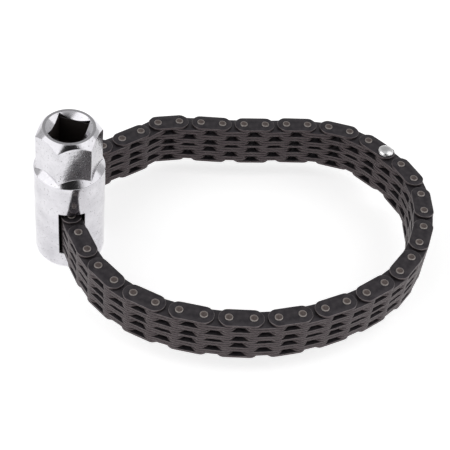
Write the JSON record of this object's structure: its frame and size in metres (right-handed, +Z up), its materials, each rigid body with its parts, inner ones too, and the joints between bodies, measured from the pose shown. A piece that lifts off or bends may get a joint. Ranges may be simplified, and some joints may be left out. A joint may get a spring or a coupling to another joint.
{
  "type": "oil filter wrench",
  "caption": "Chain oil filter wrench: a chromed socket body with a hexagon and a square drive hole, and an endless blued leaf chain that runs through a window in the body.",
  "frame": {"origin": "on the socket body's axis at its bottom face", "axes": "+Z up along the body towards the square drive hole, +X from the body to the far side of the chain loop, Y along the window that the chain passes through"},
  "size_m": [0.1662, 0.1205, 0.0661],
  "materials": {
    "socket_chrome": "polished chrome plate over steel, lightly pitted",
    "chain_steel": "blued, satin, with brighter worn edges",
    "rivet_steel": "bright domed head"
  },
  "bodies": {
    "socket": {"socket_body": "socket_chrome"},
    "link_01": {"chain_link_01_outer": "chain_steel"},
    "link_02": {"chain_link_02_inner": "chain_steel"},
    "link_03": {"chain_link_03_outer": "chain_steel"},
    "link_04": {"chain_link_04_inner": "chain_steel"},
    "link_05": {"chain_link_05_outer": "chain_steel"},
    "link_06": {"chain_link_06_inner": "chain_steel"},
    "link_07": {"chain_link_07_outer": "chain_steel"},
    "link_08": {"chain_link_08_inner": "chain_steel"},
    "link_09": {"chain_link_09_outer": "chain_steel"},
    "link_10": {"chain_link_10_inner": "chain_steel"},
    "link_11": {"chain_link_11_outer": "chain_steel"},
    "link_12": {"chain_link_12_inner": "chain_steel"},
    "link_13": {"chain_link_13_outer": "chain_steel"},
    "link_14": {"chain_link_14_inner": "chain_steel"},
    "link_15": {"chain_link_15_outer": "chain_steel"},
    "link_16": {"chain_link_16_inner": "chain_steel"},
    "link_17": {"chain_link_17_outer": "chain_steel"},
    "link_18": {"chain_link_18_inner": "chain_steel"},
    "link_19": {"chain_link_19_outer": "chain_steel"},
    "link_20": {"chain_link_20_inner": "chain_steel"},
    "link_21": {"chain_link_21_outer": "chain_steel"},
    "link_22": {"chain_link_22_inner": "chain_steel"},
    "link_23": {"chain_link_23_outer": "chain_steel"},
    "link_24": {"chain_link_24_inner": "chain_steel"},
    "link_25": {"joining_plate_1": "chain_steel", "joining_plate_2": "chain_steel", "joining_plate_3": "chain_steel", "joining_plate_4": "chain_steel", "joining_plate_5": "chain_steel", "joining_plate_6": "chain_steel", "joining_plate_7": "chain_steel", "joining_rivet": "rivet_steel"},
    "link_26": {"chain_link_26_inner": "chain_steel"},
    "link_27": {"chain_link_27_outer": "chain_steel"},
    "link_28": {"chain_link_28_inner": "chain_steel"},
    "link_29": {"chain_link_29_outer": "chain_steel"},
    "link_30": {"chain_link_30_inner": "chain_steel"},
    "link_31": {"chain_link_31_outer": "chain_steel"},
    "link_32": {"chain_link_32_inner": "chain_steel"},
    "link_33": {"chain_link_33_outer": "chain_steel"},
    "link_34": {"chain_link_34_inner": "chain_steel"},
    "link_35": {"chain_link_35_outer": "chain_steel"},
    "link_36": {"chain_link_36_inner": "chain_steel"},
    "link_37": {"chain_link_37_outer": "chain_steel"},
    "link_38": {"chain_link_38_inner": "chain_steel"},
    "link_39": {"chain_link_39_outer": "chain_steel"},
    "link_40": {"chain_link_40_inner": "chain_steel"},
    "link_41": {"chain_link_41_outer": "chain_steel"},
    "link_42": {"chain_link_42_inner": "chain_steel"},
    "link_43": {"chain_link_43_outer": "chain_steel"},
    "link_44": {"chain_link_44_inner": "chain_steel"}
  },
  "joints": [
    {"name": "window_slide", "type": "slide", "parent": "socket", "child": "link_43", "axis": [0, 1, 0], "range_m": [0, 0.004]},
    {"name": "pin_44_hinge", "type": "hinge", "parent": "link_43", "child": "link_44", "pos_m": [0, -0.01152, 0.01875], "axis": [0, 0, 1], "range_deg": [-6.11, 0]},
    {"name": "pin_01_hinge", "type": "hinge", "parent": "link_44", "child": "link_01", "pos_m": [0.00215, -0.02081, 0.01875], "axis": [0, 0, 1], "range_deg": [0, 5.87]},
    {"name": "pin_02_hinge", "type": "hinge", "parent": "link_01", "child": "link_02", "pos_m": [0.00491, -0.02992, 0.01875], "axis": [0, 0, 1], "range_deg": [-11.61, 11.61]},
    {"name": "pin_03_hinge", "type": "hinge", "parent": "link_02", "child": "link_03", "pos_m": [0.00863, -0.03869, 0.01875], "axis": [0, 0, 1], "range_deg": [-1.68, 1.68]},
    {"name": "pin_04_hinge", "type": "hinge", "parent": "link_03", "child": "link_04", "pos_m": [0.01407, -0.0465, 0.01875], "axis": [0, 0, 1], "range_deg": [-1.68, 1.68]},
    {"name": "pin_05_hinge", "type": "hinge", "parent": "link_04", "child": "link_05", "pos_m": [0.02077, -0.05328, 0.01875], "axis": [0, 0, 1], "range_deg": [-1.68, 1.68]},
    {"name": "pin_06_hinge", "type": "hinge", "parent": "link_05", "child": "link_06", "pos_m": [0.02862, -0.05867, 0.01875], "axis": [0, 0, 1], "range_deg": [-8.29, 8.29]},
    {"name": "pin_07_hinge", "type": "hinge", "parent": "link_06", "child": "link_07", "pos_m": [0.03719, -0.06284, 0.01875], "axis": [0, 0, 1], "range_deg": [-6.24, 6.24]},
    {"name": "pin_08_hinge", "type": "hinge", "parent": "link_07", "child": "link_08", "pos_m": [0.0462, -0.06592, 0.01875], "axis": [0, 0, 1], "range_deg": [-6.79, 6.79]},
    {"name": "pin_09_hinge", "type": "hinge", "parent": "link_08", "child": "link_09", "pos_m": [0.0555, -0.06796, 0.01875], "axis": [0, 0, 1], "range_deg": [-8.07, 8.07]},
    {"name": "pin_10_hinge", "type": "hinge", "parent": "link_09", "child": "link_10", "pos_m": [0.06495, -0.06921, 0.01875], "axis": [0, 0, 1], "range_deg": [-12.07, 12.07]},
    {"name": "pin_11_hinge", "type": "hinge", "parent": "link_10", "child": "link_11", "pos_m": [0.07447, -0.06945, 0.01875], "axis": [0, 0, 1], "range_deg": [-9, 9]},
    {"name": "pin_12_hinge", "type": "hinge", "parent": "link_11", "child": "link_12", "pos_m": [0.08394, -0.06847, 0.01875], "axis": [0, 0, 1], "range_deg": [-8.16, 8.16]},
    {"name": "pin_13_hinge", "type": "hinge", "parent": "link_12", "child": "link_13", "pos_m": [0.09326, -0.0665, 0.01875], "axis": [0, 0, 1], "range_deg": [-1.68, 1.68]},
    {"name": "pin_14_hinge", "type": "hinge", "parent": "link_13", "child": "link_14", "pos_m": [0.10237, -0.06373, 0.01875], "axis": [0, 0, 1], "range_deg": [-1.68, 1.68]},
    {"name": "pin_15_hinge", "type": "hinge", "parent": "link_14", "child": "link_15", "pos_m": [0.11117, -0.06008, 0.01875], "axis": [0, 0, 1], "range_deg": [-6.36, 6.36]},
    {"name": "pin_16_hinge", "type": "hinge", "parent": "link_15", "child": "link_16", "pos_m": [0.11957, -0.05559, 0.01875], "axis": [0, 0, 1], "range_deg": [-9.87, 9.87]},
    {"name": "pin_17_hinge", "type": "hinge", "parent": "link_16", "child": "link_17", "pos_m": [0.12732, -0.05005, 0.01875], "axis": [0, 0, 1], "range_deg": [-4.5, 4.5]},
    {"name": "pin_18_hinge", "type": "hinge", "parent": "link_17", "child": "link_18", "pos_m": [0.13396, -0.04322, 0.01875], "axis": [0, 0, 1], "range_deg": [-1.68, 1.68]},
    {"name": "pin_19_hinge", "type": "hinge", "parent": "link_18", "child": "link_19", "pos_m": [0.13943, -0.03543, 0.01875], "axis": [0, 0, 1], "range_deg": [-1.68, 1.68]},
    {"name": "pin_20_hinge", "type": "hinge", "parent": "link_19", "child": "link_20", "pos_m": [0.1436, -0.02686, 0.01875], "axis": [0, 0, 1], "range_deg": [-3.68, 3.68]},
    {"name": "pin_21_hinge", "type": "hinge", "parent": "link_20", "child": "link_21", "pos_m": [0.14635, -0.01774, 0.01875], "axis": [0, 0, 1], "range_deg": [-1.68, 1.68]},
    {"name": "pin_22_hinge", "type": "hinge", "parent": "link_21", "child": "link_22", "pos_m": [0.1476, -0.0083, 0.01875], "axis": [0, 0, 1], "range_deg": [-3.2, 3.2]},
    {"name": "pin_23_hinge", "type": "hinge", "parent": "link_22", "child": "link_23", "pos_m": [0.14696, 0.00121, 0.01875], "axis": [0, 0, 1], "range_deg": [-9.97, 9.97]},
    {"name": "pin_24_hinge", "type": "hinge", "parent": "link_23", "child": "link_24", "pos_m": [0.14361, 0.01012, 0.01875], "axis": [0, 0, 1], "range_deg": [-7.39, 7.39]},
    {"name": "pin_43_hinge", "type": "hinge", "parent": "link_43", "child": "link_42", "pos_m": [0, -0.002, 0.01875], "axis": [0, 0, -1], "range_deg": [0, 0.506]},
    {"name": "pin_42_hinge", "type": "hinge", "parent": "link_42", "child": "link_41", "pos_m": [-0.0002, 0.00752, 0.01875], "axis": [0, 0, -1], "range_deg": [-6.08, 0]},
    {"name": "pin_41_hinge", "type": "hinge", "parent": "link_41", "child": "link_40", "pos_m": [0.00099, 0.01697, 0.01875], "axis": [0, 0, -1], "range_deg": [0, 5.92]},
    {"name": "pin_40_hinge", "type": "hinge", "parent": "link_40", "child": "link_39", "pos_m": [0.00733, 0.02409, 0.01875], "axis": [0, 0, -1], "range_deg": [-6.83, 6.83]},
    {"name": "pin_39_hinge", "type": "hinge", "parent": "link_39", "child": "link_38", "pos_m": [0.01582, 0.0284, 0.01875], "axis": [0, 0, -1], "range_deg": [-6.16, 6.16]},
    {"name": "pin_38_hinge", "type": "hinge", "parent": "link_38", "child": "link_37", "pos_m": [0.02438, 0.03258, 0.01875], "axis": [0, 0, -1], "range_deg": [-11.3, 11.3]},
    {"name": "pin_37_hinge", "type": "hinge", "parent": "link_37", "child": "link_36", "pos_m": [0.03286, 0.03691, 0.01875], "axis": [0, 0, -1], "range_deg": [-6.71, 6.71]},
    {"name": "pin_36_hinge", "type": "hinge", "parent": "link_36", "child": "link_35", "pos_m": [0.04094, 0.04196, 0.01875], "axis": [0, 0, -1], "range_deg": [-3.17, 3.17]},
    {"name": "pin_35_hinge", "type": "hinge", "parent": "link_35", "child": "link_34", "pos_m": [0.05045, 0.04247, 0.01875], "axis": [0, 0, -1], "range_deg": [-7.28, 7.28]},
    {"name": "pin_34_hinge", "type": "hinge", "parent": "link_34", "child": "link_33", "pos_m": [0.0599, 0.0413, 0.01875], "axis": [0, 0, -1], "range_deg": [-1.68, 1.68]},
    {"name": "pin_33_hinge", "type": "hinge", "parent": "link_33", "child": "link_32", "pos_m": [0.06933, 0.03993, 0.01875], "axis": [0, 0, -1], "range_deg": [-7.12, 7.12]},
    {"name": "pin_32_hinge", "type": "hinge", "parent": "link_32", "child": "link_31", "pos_m": [0.07882, 0.0391, 0.01875], "axis": [0, 0, -1], "range_deg": [-8.7, 8.7]},
    {"name": "pin_31_hinge", "type": "hinge", "parent": "link_31", "child": "link_30", "pos_m": [0.08832, 0.03845, 0.01875], "axis": [0, 0, -1], "range_deg": [-7.23, 7.23]},
    {"name": "pin_30_hinge", "type": "hinge", "parent": "link_30", "child": "link_29", "pos_m": [0.09784, 0.03821, 0.01875], "axis": [0, 0, -1], "range_deg": [-6.35, 6.35]},
    {"name": "pin_29_hinge", "type": "hinge", "parent": "link_29", "child": "link_28", "pos_m": [0.10733, 0.0374, 0.01875], "axis": [0, 0, -1], "range_deg": [-5.95, 5.95]},
    {"name": "pin_28_hinge", "type": "hinge", "parent": "link_28", "child": "link_27", "pos_m": [0.11667, 0.03549, 0.01875], "axis": [0, 0, -1], "range_deg": [-10.38, 10.38]},
    {"name": "pin_27_hinge", "type": "hinge", "parent": "link_27", "child": "link_26", "pos_m": [0.1255, 0.03193, 0.01875], "axis": [0, 0, -1], "range_deg": [-11.11, 11.11]},
    {"name": "pin_26_hinge", "type": "hinge", "parent": "link_26", "child": "link_25", "pos_m": [0.13272, 0.02572, 0.01875], "axis": [0, 0, -1], "range_deg": [-1.97, 1.97]}
  ],
  "couplings": [
    {"joint": "pin_44_hinge", "follows": "window_slide", "rad_per_m": -26.646},
    {"joint": "pin_01_hinge", "follows": "window_slide", "rad_per_m": 25.588},
    {"joint": "pin_03_hinge", "follows": "pin_06_hinge", "ratio": 0.20269},
    {"joint": "pin_04_hinge", "follows": "pin_10_hinge", "ratio": 0.13926},
    {"joint": "pin_05_hinge", "follows": "pin_02_hinge", "ratio": -0.14473},
    {"joint": "pin_07_hinge", "follows": "pin_10_hinge", "ratio": -0.51719},
    {"joint": "pin_08_hinge", "follows": "pin_02_hinge", "ratio": -0.58509},
    {"joint": "pin_09_hinge", "follows": "pin_06_hinge", "ratio": 0.97388},
    {"joint": "pin_11_hinge", "follows": "pin_02_hinge", "ratio": -0.77474},
    {"joint": "pin_12_hinge", "follows": "pin_06_hinge", "ratio": -0.98436},
    {"joint": "pin_13_hinge", "follows": "pin_10_hinge", "ratio": 0.13926},
    {"joint": "pin_14_hinge", "follows": "pin_02_hinge", "ratio": 0.14473},
    {"joint": "pin_15_hinge", "follows": "pin_06_hinge", "ratio": -0.76704},
    {"joint": "pin_16_hinge", "follows": "pin_10_hinge", "ratio": -0.81772},
    {"joint": "pin_17_hinge", "follows": "pin_02_hinge", "ratio": 0.38747},
    {"joint": "pin_18_hinge", "follows": "pin_06_hinge", "ratio": -0.20269},
    {"joint": "pin_19_hinge", "follows": "pin_10_hinge", "ratio": -0.13926},
    {"joint": "pin_20_hinge", "follows": "pin_02_hinge", "ratio": 0.31661},
    {"joint": "pin_21_hinge", "follows": "pin_06_hinge", "ratio": -0.20269},
    {"joint": "pin_22_hinge", "follows": "pin_10_hinge", "ratio": 0.26506},
    {"joint": "pin_23_hinge", "follows": "pin_02_hinge", "ratio": 0.85839},
    {"joint": "pin_24_hinge", "follows": "pin_06_hinge", "ratio": 0.89138},
    {"joint": "pin_43_hinge", "follows": "window_slide", "rad_per_m": 2.2006},
    {"joint": "pin_42_hinge", "follows": "window_slide", "rad_per_m": -26.541},
    {"joint": "pin_41_hinge", "follows": "window_slide", "rad_per_m": 25.843},
    {"joint": "pin_40_hinge", "follows": "pin_06_hinge", "ratio": -0.82387},
    {"joint": "pin_39_hinge", "follows": "pin_02_hinge", "ratio": 0.53028},
    {"joint": "pin_38_hinge", "follows": "pin_10_hinge", "ratio": -0.93584},
    {"joint": "pin_37_hinge", "follows": "pin_06_hinge", "ratio": -0.80953},
    {"joint": "pin_36_hinge", "follows": "pin_02_hinge", "ratio": -0.27263},
    {"joint": "pin_35_hinge", "follows": "pin_10_hinge", "ratio": 0.60275},
    {"joint": "pin_34_hinge", "follows": "pin_06_hinge", "ratio": -0.20269},
    {"joint": "pin_33_hinge", "follows": "pin_02_hinge", "ratio": -0.61358},
    {"joint": "pin_32_hinge", "follows": "pin_10_hinge", "ratio": 0.72061},
    {"joint": "pin_31_hinge", "follows": "pin_06_hinge", "ratio": 0.87221},
    {"joint": "pin_30_hinge", "follows": "pin_02_hinge", "ratio": -0.54664},
    {"joint": "pin_29_hinge", "follows": "pin_10_hinge", "ratio": -0.49272},
    {"joint": "pin_28_hinge", "follows": "pin_06_hinge", "ratio": 1.2518},
    {"joint": "pin_27_hinge", "follows": "pin_02_hinge", "ratio": 0.95711},
    {"joint": "pin_26_hinge", "follows": "pin_10_hinge", "ratio": -0.16275}
  ]
}
